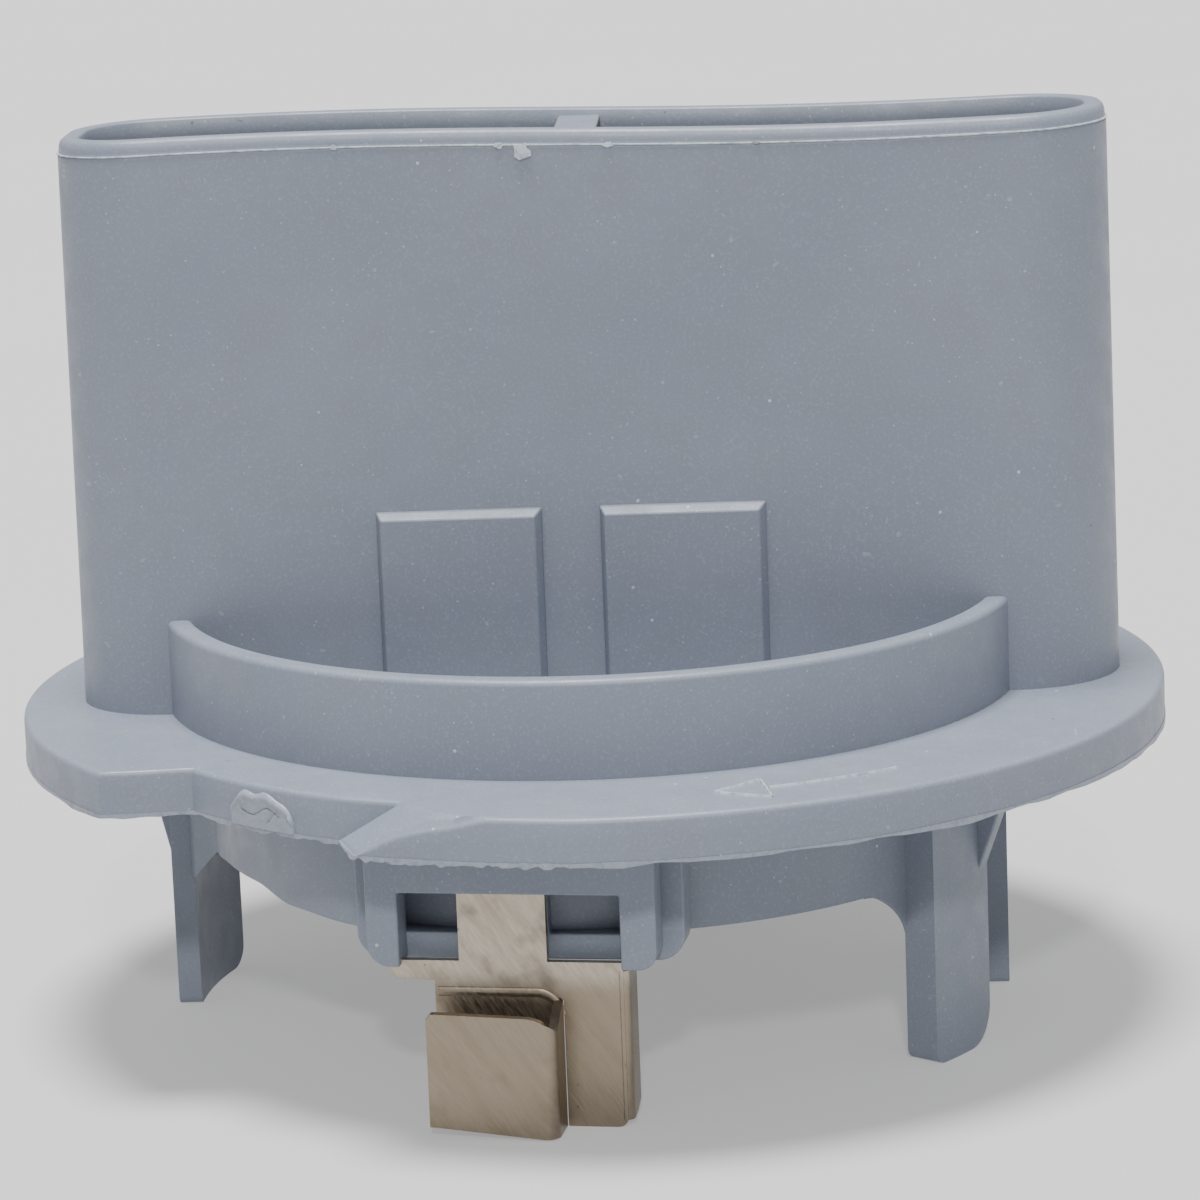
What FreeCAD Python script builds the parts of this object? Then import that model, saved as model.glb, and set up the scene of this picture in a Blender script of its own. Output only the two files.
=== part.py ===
# Twist-in lamp holder cap: an oblong hollow grip on a round flange, with a guide skirt, legs and two
# plated spring contacts below. Millimetres. +Z is up, out of the grip's open end. The Z axis is the axis
# of the round flange, and the feet of the legs stand on Z = 0. Azimuths are degrees from the front (-Y)
# towards the right (+X). Most pieces are built with the flange's underside at Z = 0, and lifted on export.
import FreeCAD
import Part

import math
import os

# Flange
foot_drop = 15.2
flange_r = 30.0
flange_t = 2.2
flange_edge_r = 0.25
seat_clear = 0.25
notch_floor_r = 26.4
notch_left_az = -47.5
notch_left_rim_az = -52.8
notch_ramp_low_az = -21.6
notch_ramp_high_az = -17.6
relief_depth = 0.6
relief_end_az = 0.0

# Grip sleeve, an oblong tube that tapers a little towards its open top
sleeve_left = -26.8
sleeve_right = 27.7
sleeve_front = -5.8
sleeve_rear = 6.2
sleeve_left_r = 4.7
sleeve_right_r = 5.7
sleeve_wall = 1.2
sleeve_h = 29.9
sleeve_draft = 0.5
divider_x = 0.1
divider_t = 2.2

# Raised pads on the two broad faces of the sleeve
pad_lefts = (-10.6, 0.9)
pad_w = 8.5
pad_h = 10.3
pad_t = 0.55
pad_chamfer = 0.3

# Curved guard walls in front of the sleeve and behind it
guard_r = 22.4
guard_t = 1.25
guard_h = 4.95

# Raised arrow on the flange, showing which way the cap turns
arrow_r = 26.7
arrow_az_tail = 36.0
arrow_az_tip = 15.5
arrow_line = 0.35
arrow_h = 0.15
arrow_head = 2.4
arrow_head_angle = 28.0

# Guide skirt under the flange
skirt_r = 20.3
skirt_t = 1.5
skirt_drop = 6.25
skirt_rise = 0.75
skirt_rise_az = (-84.0, -54.0)

# Legs: thickness, first and last azimuth. The left leg stands clear of the skirt
front_leg_t = 2.1
front_leg_az = (50.8, 64.0)
right_leg_t = 1.3
right_leg_az = (90.0, 112.0)
left_leg_gap = 1.5
left_leg_t = 1.15
left_leg_az = (-109.5, -90.0)
leg_corner = 1.2
bridge_drop = 6.9
gusset_t = 0.9
gusset_reach = 2.4
left_gusset_drop = 9.5
front_gusset_drop = 6.0

# Contact brackets, front and rear, drawn facing the front and then turned
bracket_az = -8.5
bracket_x = (-7.4, 7.0)
bracket_depth = 1.85
bracket_drop = 7.15
bracket_post = 1.75
bracket_bar_drop = 3.4
bracket_corner = 0.9
base_x = (-8.3, 8.1)
base_t = 0.65
base_drop = 7.2
base_corner = 1.4

# Plated contact strip: sheet thickness, and its outline in x and in depth below the flange
sheet = 0.45
strip_inset = 0.4
strip_gap = 0.05
neck_x = (-2.9, 1.5)
neck_top = 1.4
shoulder_top = 6.85
shoulder_bottom = 7.8
shoulder_x = (-6.2, 5.5)
column_x = (2.55, 5.5)
back_leaf_left = -4.15
strip_drop = 15.05
column_corner = 0.9
lip_depth = 2.1

# Spring jaw: a leaf folded back over the strip, with a slot for a flat blade
jaw_gap = 2.05
jaw_top = 9.0
jaw_right_x = 2.25
jaw_slit_top = 8.6
jaw_bend_r = 0.55
jaw_hinge_gap = 0.1
jaw_corner = 1.1

# Terminal block inside the skirt, and the two lamp terminals in it
block_x = (-7.0, 7.0)
block_y = 8.6
block_drop = 5.9
pocket_x = 4.6
pocket_y = (2.2, 6.6)
terminal_clear = 0.05
terminal_side_clear = 0.3
terminal_drop = 5.7
terminal_lip = 2.6
spring_w = 5.0
spring_top = 1.6
spring_bottom = 5.0
spring_lean = 2.1
spring_hinge_gap = 0.12
link_slot_clear = 0.1

# Sizes that follow from the ones above
front_leg_ring = (skirt_r, skirt_r + front_leg_t, *front_leg_az)
right_leg_ring = (skirt_r, skirt_r + right_leg_t, *right_leg_az)
left_leg_ring = (skirt_r + left_leg_gap, skirt_r + left_leg_gap + left_leg_t, *left_leg_az)
base_face_r = skirt_r + base_t
bracket_face_r = base_face_r + bracket_depth
strip_face_r = bracket_face_r - strip_inset
link_inner_r = pocket_y[1] - terminal_clear
jaw_root_x = jaw_right_x - jaw_bend_r
jaw_reach = math.hypot(strip_face_r + jaw_gap + sheet, back_leaf_left)
gusset_reach_r = left_leg_ring[1] + gusset_reach
seat_inner_r = max(jaw_reach, gusset_reach_r) + seat_clear


def polar(radius, azimuth, z=0.0):
    angle = math.radians(azimuth)
    return FreeCAD.Vector(radius * math.sin(angle), -radius * math.cos(angle), z)


def block(x_span, y_span, z_span):
    size = [high - low for low, high in (x_span, y_span, z_span)]
    return Part.makeBox(*size, FreeCAD.Vector(x_span[0], y_span[0], z_span[0]))


def polygon_face(points):
    return Part.Face(Part.makePolygon(list(points) + [points[0]]))


def disc(radius, z_low, z_high):
    return Part.makeCylinder(radius, z_high - z_low, FreeCAD.Vector(0, 0, z_low))


def ring_sector(r_in, r_out, az_from, az_to, z_low, z_high):
    base = FreeCAD.Vector(0, 0, z_low)
    up = FreeCAD.Vector(0, 0, 1)
    height = z_high - z_low
    sweep = az_to - az_from
    outer = Part.makeCylinder(r_out, height, base, up, sweep)
    sector = outer.cut(Part.makeCylinder(r_in, height, base, up, sweep))
    sector.rotate(FreeCAD.Vector(0, 0, 0), up, az_from - 90)
    return sector


def turned(shape, azimuth):
    copy = shape.copy()
    copy.rotate(FreeCAD.Vector(0, 0, 0), FreeCAD.Vector(0, 0, 1), azimuth)
    return copy


def lift(shape):
    copy = shape.copy()
    copy.translate(FreeCAD.Vector(0, 0, foot_drop))
    return copy


def save(node, shape):
    lifted = lift(shape)
    solids = lifted.Solids
    result = solids[0] if len(solids) == 1 else Part.makeCompound(solids)
    result.exportStep("parts/" + node + ".step")


# ---- flange -------------------------------------------------------------------------------------------

def notch_outline(ramp_az, z):
    beyond = flange_r + 2.0
    middle_az = 0.5 * (notch_left_az + ramp_az)
    left = Part.LineSegment(polar(beyond, notch_left_rim_az, z), polar(notch_floor_r, notch_left_az, z))
    floor = Part.Arc(
        polar(notch_floor_r, notch_left_az, z),
        polar(notch_floor_r, middle_az, z),
        polar(notch_floor_r, ramp_az, z),
    )
    ramp = Part.LineSegment(polar(notch_floor_r, ramp_az, z), polar(beyond, ramp_az, z))
    outside = Part.Arc(
        polar(beyond, ramp_az, z), polar(beyond, middle_az, z), polar(beyond, notch_left_rim_az, z)
    )
    return Part.Wire([left.toShape(), floor.toShape(), ramp.toShape(), outside.toShape()])


def make_notch_cutter():
    low = notch_outline(notch_ramp_low_az, 0)
    high = notch_outline(notch_ramp_high_az, flange_t)
    return Part.makeLoft([low, high], True, True)


def make_relief_cutter():
    start = notch_ramp_low_az
    middle = 0.5 * (start + relief_end_az)
    edge = Part.Arc(
        polar(flange_r - relief_depth, start),
        polar(flange_r - 0.85 * relief_depth, middle),
        polar(flange_r, relief_end_az),
    ).toShape()
    beyond = flange_r + 2.0
    back = Part.makePolygon(
        [polar(flange_r, relief_end_az), polar(beyond, middle), polar(beyond, start),
         polar(flange_r - relief_depth, start)]
    )
    return Part.Face(Part.Wire([edge] + back.Edges)).extrude(FreeCAD.Vector(0, 0, flange_t))


def make_flange():
    plate = disc(flange_r, 0, flange_t)
    rims = [edge for edge in plate.Edges if abs(edge.BoundBox.ZMin - flange_t) < 1e-6]
    plate = plate.makeFillet(flange_edge_r, rims)
    # the seat, outside everything that hangs below, is a face of its own
    hub = disc(seat_inner_r, 0, flange_t)
    rim = plate.cut(hub).cut(make_notch_cutter()).cut(make_relief_cutter())
    return hub.fuse(rim)


def make_arrow():
    shaft = ring_sector(
        arrow_r - arrow_line / 2, arrow_r + arrow_line / 2, arrow_az_tip, arrow_az_tail,
        flange_t, flange_t + arrow_h,
    )
    tip = polar(arrow_r, arrow_az_tip, flange_t)
    arrow = shaft
    for side in (-1, 1):
        barb = Part.makeBox(
            arrow_head, arrow_line, arrow_h, FreeCAD.Vector(-arrow_line / 2, -arrow_line / 2, 0)
        )
        barb.rotate(
            FreeCAD.Vector(0, 0, 0), FreeCAD.Vector(0, 0, 1), arrow_az_tip + side * arrow_head_angle
        )
        barb.translate(tip)
        arrow = arrow.fuse(barb)
    return arrow.removeSplitter()


# ---- grip ---------------------------------------------------------------------------------------------

def sleeve_outline(inset, z):
    left = sleeve_left + inset
    right = sleeve_right - inset
    front = sleeve_front + inset
    rear = sleeve_rear - inset
    r_left = sleeve_left_r - inset
    r_right = sleeve_right_r - inset
    k = 1 - math.sqrt(0.5)

    def at(x, y):
        return FreeCAD.Vector(x, y, z)

    corners = [
        (at(left + r_left, front), at(right - r_right, front)),
        (at(right - r_right, front), at(right - k * r_right, front + k * r_right),
         at(right, front + r_right)),
        (at(right, front + r_right), at(right, rear - r_right)),
        (at(right, rear - r_right), at(right - k * r_right, rear - k * r_right),
         at(right - r_right, rear)),
        (at(right - r_right, rear), at(left + r_left, rear)),
        (at(left + r_left, rear), at(left + k * r_left, rear - k * r_left), at(left, rear - r_left)),
        (at(left, rear - r_left), at(left, front + r_left)),
        (at(left, front + r_left), at(left + k * r_left, front + k * r_left),
         at(left + r_left, front)),
    ]
    edges = []
    for run in corners:
        curve = Part.LineSegment(*run) if len(run) == 2 else Part.Arc(*run)
        edges.append(curve.toShape())
    return Part.Wire(edges)


def sleeve_solid(inset):
    taper = sleeve_h * math.tan(math.radians(sleeve_draft))
    low = sleeve_outline(inset, flange_t)
    high = sleeve_outline(inset + taper, flange_t + sleeve_h)
    return Part.makeLoft([low, high], True, True)


def make_sleeve():
    return sleeve_solid(0).cut(sleeve_solid(sleeve_wall))


def make_divider():
    slab = block(
        (divider_x - divider_t / 2, divider_x + divider_t / 2),
        (sleeve_front, sleeve_rear),
        (flange_t, flange_t + sleeve_h),
    )
    return slab.common(sleeve_solid(sleeve_wall))


def make_pad(left, side):
    face = sleeve_front if side < 0 else sleeve_rear
    outer = face + side * pad_t
    inner = face - side * 2 * pad_t
    pad = block((left, left + pad_w), sorted((outer, inner)), (flange_t, flange_t + pad_h))
    shown = [
        edge for edge in pad.Edges
        if abs(edge.CenterOfMass.y - outer) < 1e-6 and edge.CenterOfMass.z > flange_t + 1e-6
    ]
    return pad.makeChamfer(pad_chamfer, shown).cut(sleeve_solid(0))


def make_guard(side):
    ring = ring_sector(guard_r - guard_t, guard_r, 0, 360, flange_t, flange_t + guard_h)
    reach = guard_r + 1.0
    face = sleeve_front if side < 0 else sleeve_rear
    inside = face - side * sleeve_wall / 2
    half = block((-reach, reach), sorted((inside, side * reach)), (0, flange_t + guard_h))
    wall = ring.common(half).cut(sleeve_solid(0))
    return max(wall.Solids, key=lambda solid: solid.Volume)


# ---- skirt and legs -----------------------------------------------------------------------------------

def link_slot(clear):
    # the way that the contact link takes from the bracket to its lamp terminal
    left, right = neck_x
    return block(
        (left - clear, right + clear),
        (-strip_face_r - clear, -link_inner_r),
        (-neck_top - sheet - clear, -neck_top + clear),
    )


def make_skirt():
    skirt = ring_sector(skirt_r - skirt_t, skirt_r, 0, 360, -skirt_drop, 0)
    start, end = skirt_rise_az
    skirt = skirt.cut(
        ring_sector(skirt_r - 2 * skirt_t, skirt_r + 1, start, end, -skirt_drop, -skirt_drop + skirt_rise)
    )
    for facing in (bracket_az, bracket_az + 180):
        skirt = skirt.cut(turned(link_slot(link_slot_clear), facing))
    return skirt


def foot_edges(leg, azimuth):
    ends = []
    for edge in leg.Edges:
        middle = edge.CenterOfMass
        along = math.degrees(math.atan2(middle.x, -middle.y))
        turn = abs((along - azimuth + 180) % 360 - 180)
        if turn < 0.5 and abs(middle.z + foot_drop) < 1e-6:
            ends.append(edge)
    return ends


def make_leg(ring, rounded_az):
    r_in, r_out, az_from, az_to = ring
    leg = ring_sector(r_in, r_out, az_from, az_to, -foot_drop, 0)
    return leg.makeFillet(leg_corner, foot_edges(leg, rounded_az))


def make_bridge(ring):
    # the upright web that joins a leg that stands clear of the skirt to the skirt
    return ring_sector(skirt_r, ring[0], ring[2], ring[3], -bridge_drop, 0)


def make_gusset(ring, azimuth, drop):
    outer = ring[1]
    start = outer - 0.5 * (ring[1] - ring[0])
    face = polygon_face([
        FreeCAD.Vector(-gusset_t / 2, -start, -drop),
        FreeCAD.Vector(-gusset_t / 2, -outer, -drop),
        FreeCAD.Vector(-gusset_t / 2, -outer - gusset_reach, 0),
        FreeCAD.Vector(-gusset_t / 2, -start, 0),
    ])
    rib = turned(face.extrude(FreeCAD.Vector(gusset_t, 0, 0)), azimuth)
    return rib.cut(disc(outer, -foot_drop, 0))


# ---- contact brackets ---------------------------------------------------------------------------------

def clipped_plate(x_span, y_span, drop, corner):
    left, right = x_span
    y_low, y_high = y_span
    points = [
        (left, 0), (left, -drop + corner), (left + corner, -drop),
        (right - corner, -drop), (right, -drop + corner), (right, 0),
    ]
    face = polygon_face([FreeCAD.Vector(x, y_low, z) for x, z in points])
    return face.extrude(FreeCAD.Vector(0, y_high - y_low, 0))


def make_bracket_base():
    plate = clipped_plate(base_x, (-base_face_r, -skirt_r + 2 * skirt_t), base_drop, base_corner)
    hole = link_slot(link_slot_clear)
    return plate.cut(disc(skirt_r, -foot_drop, 0)).cut(hole)


def make_bracket():
    frame = clipped_plate(bracket_x, (-bracket_face_r, -base_face_r), bracket_drop, bracket_corner)
    window = block(
        (bracket_x[0] + bracket_post, bracket_x[1] - bracket_post),
        (-bracket_face_r, -base_face_r),
        (-bracket_drop, -bracket_bar_drop),
    )
    neck_way = block(
        (neck_x[0] - strip_gap, neck_x[1] + strip_gap),
        (-strip_face_r - strip_gap, -base_face_r),
        (-bracket_bar_drop, -neck_top + strip_gap),
    )
    shoulder_way = block(
        (shoulder_x[0] - strip_gap, shoulder_x[1] + strip_gap),
        (-strip_face_r - strip_gap, -base_face_r),
        (-bracket_drop, -shoulder_top + strip_gap),
    )
    return frame.cut(window).cut(neck_way).cut(shoulder_way)


# ---- contact strips -----------------------------------------------------------------------------------

def strip_face():
    points = [
        (neck_x[0], neck_top), (neck_x[1], neck_top), (neck_x[1], shoulder_top),
        (shoulder_x[1], shoulder_top), (column_x[1], strip_drop - column_corner),
        (column_x[1] - column_corner, strip_drop), (column_x[0], strip_drop),
        (column_x[0], jaw_slit_top), (jaw_root_x, jaw_slit_top), (jaw_root_x, strip_drop),
        (back_leaf_left, strip_drop), (back_leaf_left, shoulder_bottom),
        (shoulder_x[0], shoulder_bottom),
        (shoulder_x[0], shoulder_top), (neck_x[0], shoulder_top),
    ]
    return polygon_face([FreeCAD.Vector(x, -strip_face_r, -drop) for x, drop in points])


def make_strip():
    plate = strip_face().extrude(FreeCAD.Vector(0, sheet, 0))
    lip = block(
        (column_x[1] - sheet, column_x[1]),
        (-strip_face_r + sheet, -strip_face_r + lip_depth),
        (-strip_drop + column_corner, -base_drop - strip_gap),
    )
    return plate.fuse(lip).removeSplitter()


def make_link():
    return block(neck_x, (-strip_face_r + sheet, -link_inner_r), (-neck_top - sheet, -neck_top))


def make_jaw_bend():
    # the side of the folded jaw, from the strip's plane round to the leaf's root
    front = -strip_face_r - jaw_gap - sheet
    back = -strip_face_r + sheet
    root = jaw_root_x
    outer = block((root - jaw_bend_r, jaw_right_x), (front, back), (-strip_drop, -jaw_top))
    hollow = block(
        (root - 2 * jaw_bend_r, jaw_right_x - sheet), (front + sheet, back - sheet),
        (-strip_drop, -jaw_top),
    )
    outer = outer.makeFillet(jaw_bend_r, upright_edges(outer, jaw_right_x))
    hollow = hollow.makeFillet(jaw_bend_r - sheet, upright_edges(hollow, jaw_right_x - sheet))
    beyond_root = block((root - 3 * jaw_bend_r, root), (front, back), (-strip_drop, -jaw_top))
    return outer.cut(hollow).cut(beyond_root)


def upright_edges(shape, x):
    found = []
    for edge in shape.Edges:
        box = edge.BoundBox
        if abs(box.XMin - x) < 1e-6 and abs(box.XMax - x) < 1e-6 and box.YLength < 1e-6:
            found.append(edge)
    return found


def make_jaw_leaf():
    face_y = -strip_face_r - jaw_gap
    end_x = jaw_root_x - jaw_hinge_gap
    points = [
        (back_leaf_left, jaw_top), (end_x - jaw_corner, jaw_top), (end_x, jaw_top + jaw_corner),
        (end_x, strip_drop), (back_leaf_left, strip_drop),
    ]
    face = polygon_face([FreeCAD.Vector(x, face_y, -drop) for x, drop in points])
    return face.extrude(FreeCAD.Vector(0, -sheet, 0))


# ---- inside the skirt ---------------------------------------------------------------------------------

def make_terminal_block():
    body = block(block_x, (-block_y, block_y), (-block_drop, 0))
    for facing in (0, 180):
        pocket = block(
            (-pocket_x, pocket_x), (-pocket_y[1], -pocket_y[0]), (-block_drop, -neck_top + link_slot_clear)
        )
        way = link_slot(link_slot_clear)
        body = body.cut(turned(pocket, facing)).cut(turned(way, facing))
    return body


def make_lamp_terminal():
    half = pocket_x - terminal_side_clear
    outer_y = -link_inner_r
    inner_y = -pocket_y[0] - terminal_clear
    back = block((-half, half), (outer_y, outer_y + sheet), (-terminal_drop, -neck_top))
    terminal = back
    for side in (-1, 1):
        wall = block(
            sorted((side * half, side * (half - sheet))), (outer_y, inner_y), (-terminal_drop, -neck_top)
        )
        lip = block(
            sorted((side * half, side * terminal_lip)), (inner_y - sheet, inner_y),
            (-terminal_drop, -neck_top),
        )
        terminal = terminal.fuse(wall).fuse(lip)
    return terminal.removeSplitter()


def make_lamp_spring():
    start_y = -link_inner_r + sheet + spring_hinge_gap
    points = [
        (start_y, spring_top), (start_y + sheet, spring_top),
        (start_y + sheet + spring_lean, spring_bottom), (start_y + spring_lean, spring_bottom),
    ]
    face = polygon_face([FreeCAD.Vector(-spring_w / 2, y, -drop) for y, drop in points])
    return face.extrude(FreeCAD.Vector(spring_w, 0, 0))


# ---- the whole part -----------------------------------------------------------------------------------

def save_moulding():
    save("flange", make_flange())
    save("turn_arrow", make_arrow())
    save("grip_sleeve", make_sleeve())
    save("grip_divider", make_divider())
    for side, end in ((-1, "front"), (1, "rear")):
        save(end + "_guard_wall", make_guard(side))
        for left, hand in zip(pad_lefts, ("left", "right")):
            save(end + "_" + hand + "_pad", make_pad(left, side))
    save("guide_skirt", make_skirt())
    save("front_leg", make_leg(front_leg_ring, front_leg_ring[3]))
    save("left_leg", make_leg(left_leg_ring, left_leg_ring[2]))
    save("right_leg", make_leg(right_leg_ring, right_leg_ring[3]))
    save("left_leg_bridge", make_bridge(left_leg_ring))
    save("left_leg_gusset", make_gusset(left_leg_ring, left_leg_ring[2] + 12, left_gusset_drop))
    save("front_leg_gusset", make_gusset(front_leg_ring, front_leg_ring[3] - 1.5, front_gusset_drop))
    save("terminal_block", turned(make_terminal_block(), bracket_az))


def save_contact(end, facing):
    pieces = {
        "_bracket_base": make_bracket_base(),
        "_bracket_frame": make_bracket(),
        "_contact_strip": make_strip(),
        "_contact_link": make_link(),
        "_jaw_bend": make_jaw_bend(),
        "_jaw_leaf": make_jaw_leaf(),
        "_lamp_terminal": make_lamp_terminal(),
        "_lamp_spring": make_lamp_spring(),
    }
    for name, shape in pieces.items():
        save(end + name, turned(shape, facing))


def main():
    os.makedirs("parts", exist_ok=True)
    save_moulding()
    save_contact("front", bracket_az)
    save_contact("rear", bracket_az + 180)


main()
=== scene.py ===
# %% [markdown]
# # A twist-in lamp holder cap
# The real thing is one grey injection moulding: a round flange, an oblong hollow grip above it, a skirt
# and three legs below it. Two folded contacts of plated sheet metal are clipped to the skirt.
# The moulding is rebuilt from swept and lofted meshes, because they give the soft edges, the flash and
# the warped rim that a machined shape hasn't got. The frame is loaded first and gives every main size.

# %% Load the frame
import math
import random

import bmesh
import bpy
from mathutils import Matrix, Vector


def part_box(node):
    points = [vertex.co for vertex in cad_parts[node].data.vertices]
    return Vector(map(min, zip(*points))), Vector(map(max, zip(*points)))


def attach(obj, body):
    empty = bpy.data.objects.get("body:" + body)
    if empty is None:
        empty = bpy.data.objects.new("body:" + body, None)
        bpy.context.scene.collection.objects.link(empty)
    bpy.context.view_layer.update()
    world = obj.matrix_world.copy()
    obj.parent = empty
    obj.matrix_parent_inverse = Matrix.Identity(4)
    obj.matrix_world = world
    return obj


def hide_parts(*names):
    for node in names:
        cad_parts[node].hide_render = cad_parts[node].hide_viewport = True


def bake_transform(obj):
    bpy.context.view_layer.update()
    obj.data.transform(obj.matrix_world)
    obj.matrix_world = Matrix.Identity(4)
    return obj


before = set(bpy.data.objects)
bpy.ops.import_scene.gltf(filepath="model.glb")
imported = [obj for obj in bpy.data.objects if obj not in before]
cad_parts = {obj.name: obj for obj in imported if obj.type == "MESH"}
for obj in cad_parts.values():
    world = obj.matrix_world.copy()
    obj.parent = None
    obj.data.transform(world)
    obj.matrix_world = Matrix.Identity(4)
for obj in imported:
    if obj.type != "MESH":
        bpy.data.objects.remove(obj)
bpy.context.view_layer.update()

# %% [markdown]
# ## Measures
# A moulder's drawing is in millimetres with the flange's underside as its zero, so the meshes are too.
# Reading the boxes of the frame's nodes keeps the looks on the design, whatever size it has.

# %% Read the main sizes from the frame
MM = 0.001


def edges_of(node):
    low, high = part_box(node)
    return [c / MM for c in low], [c / MM for c in high]


FOOT = edges_of("flange")[0][2]


def level(node, top=False):
    return edges_of(node)[1 if top else 0][2] - FOOT


flange_r = edges_of("flange")[1][0]
flange_top = level("flange", top=True)
sleeve_left = edges_of("grip_sleeve")[0][0]
sleeve_right, sleeve_rear, sleeve_top = edges_of("grip_sleeve")[1]
sleeve_front = edges_of("grip_sleeve")[0][1]
sleeve_top -= FOOT
guard_r = -edges_of("front_guard_wall")[0][1]
guard_top = level("front_guard_wall", top=True)
skirt_r = edges_of("guide_skirt")[1][0]
print("flange", round(flange_r, 2), "x", round(flange_top, 2), "grip top", round(sleeve_top, 2))

# %% [markdown]
# ## Shader maths
# A shader is a graph, but it reads best as arithmetic. The class below wraps an output socket, so that
# an expression on sockets adds Math nodes by itself, and one method makes every other kind of node.

# %% The socket class
class Sock:
    def __init__(self, tree, link):
        self.tree = tree
        self.link = link

    def node(self, kind, settings=None, out=0, **inputs):
        made = self.tree.nodes.new(kind)
        for key, value in (settings or {}).items():
            setattr(made, key, value)
        for key, value in inputs.items():
            numbered = key[0] == "i" and key[1:].isdigit()
            target = made.inputs[int(key[1:]) if numbered else key.replace("_", " ")]
            if isinstance(value, Sock):
                self.tree.links.new(value.link, target)
            else:
                target.default_value = value
        return Sock(self.tree, made.outputs[out])

    def math(self, operation, *values):
        inputs = {f"i{n}": value for n, value in enumerate(values)}
        return self.node("ShaderNodeMath", {"operation": operation}, **inputs)

    def __add__(self, other):
        return self.math("ADD", self, other)

    __radd__ = __add__

    def __sub__(self, other):
        return self.math("SUBTRACT", self, other)

    def __rsub__(self, other):
        return self.math("SUBTRACT", other, self)

    def __mul__(self, other):
        return self.math("MULTIPLY", self, other)

    __rmul__ = __mul__

    def __gt__(self, other):
        return self.math("GREATER_THAN", self, other)

    def __lt__(self, other):
        return self.math("LESS_THAN", self, other)

    def fade(self, low, high, start=0.0, end=1.0):
        return self.node(
            "ShaderNodeMapRange", {"interpolation_type": "SMOOTHSTEP"},
            Value=self, From_Min=low, From_Max=high, To_Min=start, To_Max=end,
        )

    def mix(self, colour_a, colour_b):
        return self.node(
            "ShaderNodeMix", {"data_type": "RGBA"}, out=2, i0=self, i6=colour_a, i7=colour_b,
        )


# %% Start a material
def start(name):
    material = bpy.data.materials.new(name)
    material.use_nodes = True
    tree = material.node_tree
    tree.nodes.clear()
    seed = Sock(tree, None)
    place = seed.node("ShaderNodeTexCoord", out=3)
    return material, seed, place


def close(material, shader):
    out = material.node_tree.nodes.new("ShaderNodeOutputMaterial")
    material.node_tree.links.new(shader.link, out.inputs["Surface"])
    print("material", material.name, len(material.node_tree.nodes), "nodes")
    return material


def noise(place, size_mm, detail=2.0, roughness=0.5):
    return place.node(
        "ShaderNodeTexNoise", Vector=place, Scale=1.0 / (size_mm * MM), Detail=detail, Roughness=roughness,
    )


def stretched(place, turn, scale):
    return place.node("ShaderNodeMapping", Vector=place, Rotation=turn, Scale=scale)


def specks(place, spacing_mm, size_mm):
    distance = place.node(
        "ShaderNodeTexVoronoi", {"feature": "F1"}, Vector=place, Scale=1.0 / (spacing_mm * MM),
    )
    return distance < size_mm / spacing_mm


# %% [markdown]
# ## Finishes
# The moulding is a satin blue-grey plastic. Its surface has a fine spark-eroded grain, faint flow marks,
# a dusting of pale specks, a few dark ones, and hairline scratches. Flash and torn edges are the same
# plastic, whitened where it was stretched: a lot on the thin flash of the rim, a little on the scars. The
# contacts are warm nickel plate over rolled sheet, with a slanting grain, soft stains and a browner lower
# part.

# %% The moulded plastic
GREY = (0.164, 0.185, 0.231, 1)
GREY_PALE = (0.186, 0.208, 0.256, 1)
GREY_WARM = (0.164, 0.180, 0.214, 1)
DUST = (0.46, 0.49, 0.53, 1)
SOOT = (0.035, 0.035, 0.04, 1)
SCUFF = (0.28, 0.31, 0.36, 1)


def moulded(name, whiten=0.0):
    material, seed, place = start(name)
    flow = noise(place, 9.0, 3.0).fade(0.35, 0.68, 0.0, 0.6)
    cloud = noise(place, 2.2, 2.0).fade(0.3, 0.75)
    grain = noise(place, 0.16, 2.0, 0.65)
    colour = flow.mix(GREY, GREY_PALE)
    colour = (cloud * 0.5).mix(colour, GREY_WARM)
    colour = (grain.fade(0.5, 0.72) * 0.30).mix(colour, SCUFF)
    powder = specks(place, 0.55, 0.05) * noise(place, 3.2).fade(0.42, 0.62)
    colour = (powder * 0.45).mix(colour, DUST)
    dust = specks(place, 1.7, 0.085) * noise(place, 5.0).fade(0.46, 0.6)
    colour = (dust * 0.75).mix(colour, DUST)
    aside = stretched(place, (0.4, 0.2, 0.9), (1, 1, 1))
    soot = specks(aside, 4.2, 0.09) * noise(place, 7.0).fade(0.48, 0.6)
    colour = (soot * 0.8).mix(colour, SOOT)
    across = stretched(place, (0.3, 0.5, 0.7), (1.0, 0.06, 1.0))
    scratch = noise(across, 0.5, 1.0).fade(0.735, 0.76) * noise(place, 3.0).fade(0.52, 0.6)
    colour = (scratch * 0.55).mix(colour, SCUFF)
    if whiten:
        stretch = noise(place, 0.45, 3.0, 0.7).fade(0.32, 0.6)
        colour = (stretch * whiten + whiten * 0.35).mix(colour, DUST)
    rough = noise(place, 1.4, 2.0).fade(0.3, 0.7, 0.40, 0.52)
    height = grain * 0.010 + noise(place, 0.7) * 0.007 + dust * 0.03 - scratch * 0.012
    bump = seed.node("ShaderNodeBump", Strength=0.55, Distance=MM, Height=height)
    shader = seed.node(
        "ShaderNodeBsdfPrincipled", Base_Color=colour, Roughness=rough, Normal=bump,
        IOR=1.48, Specular_IOR_Level=0.42,
    )
    return close(material, shader)


plastic = moulded("satin_grey_plastic")
torn = moulded("whitened_flash", whiten=0.62)
scarred = moulded("scarred_plastic", whiten=0.16)

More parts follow.
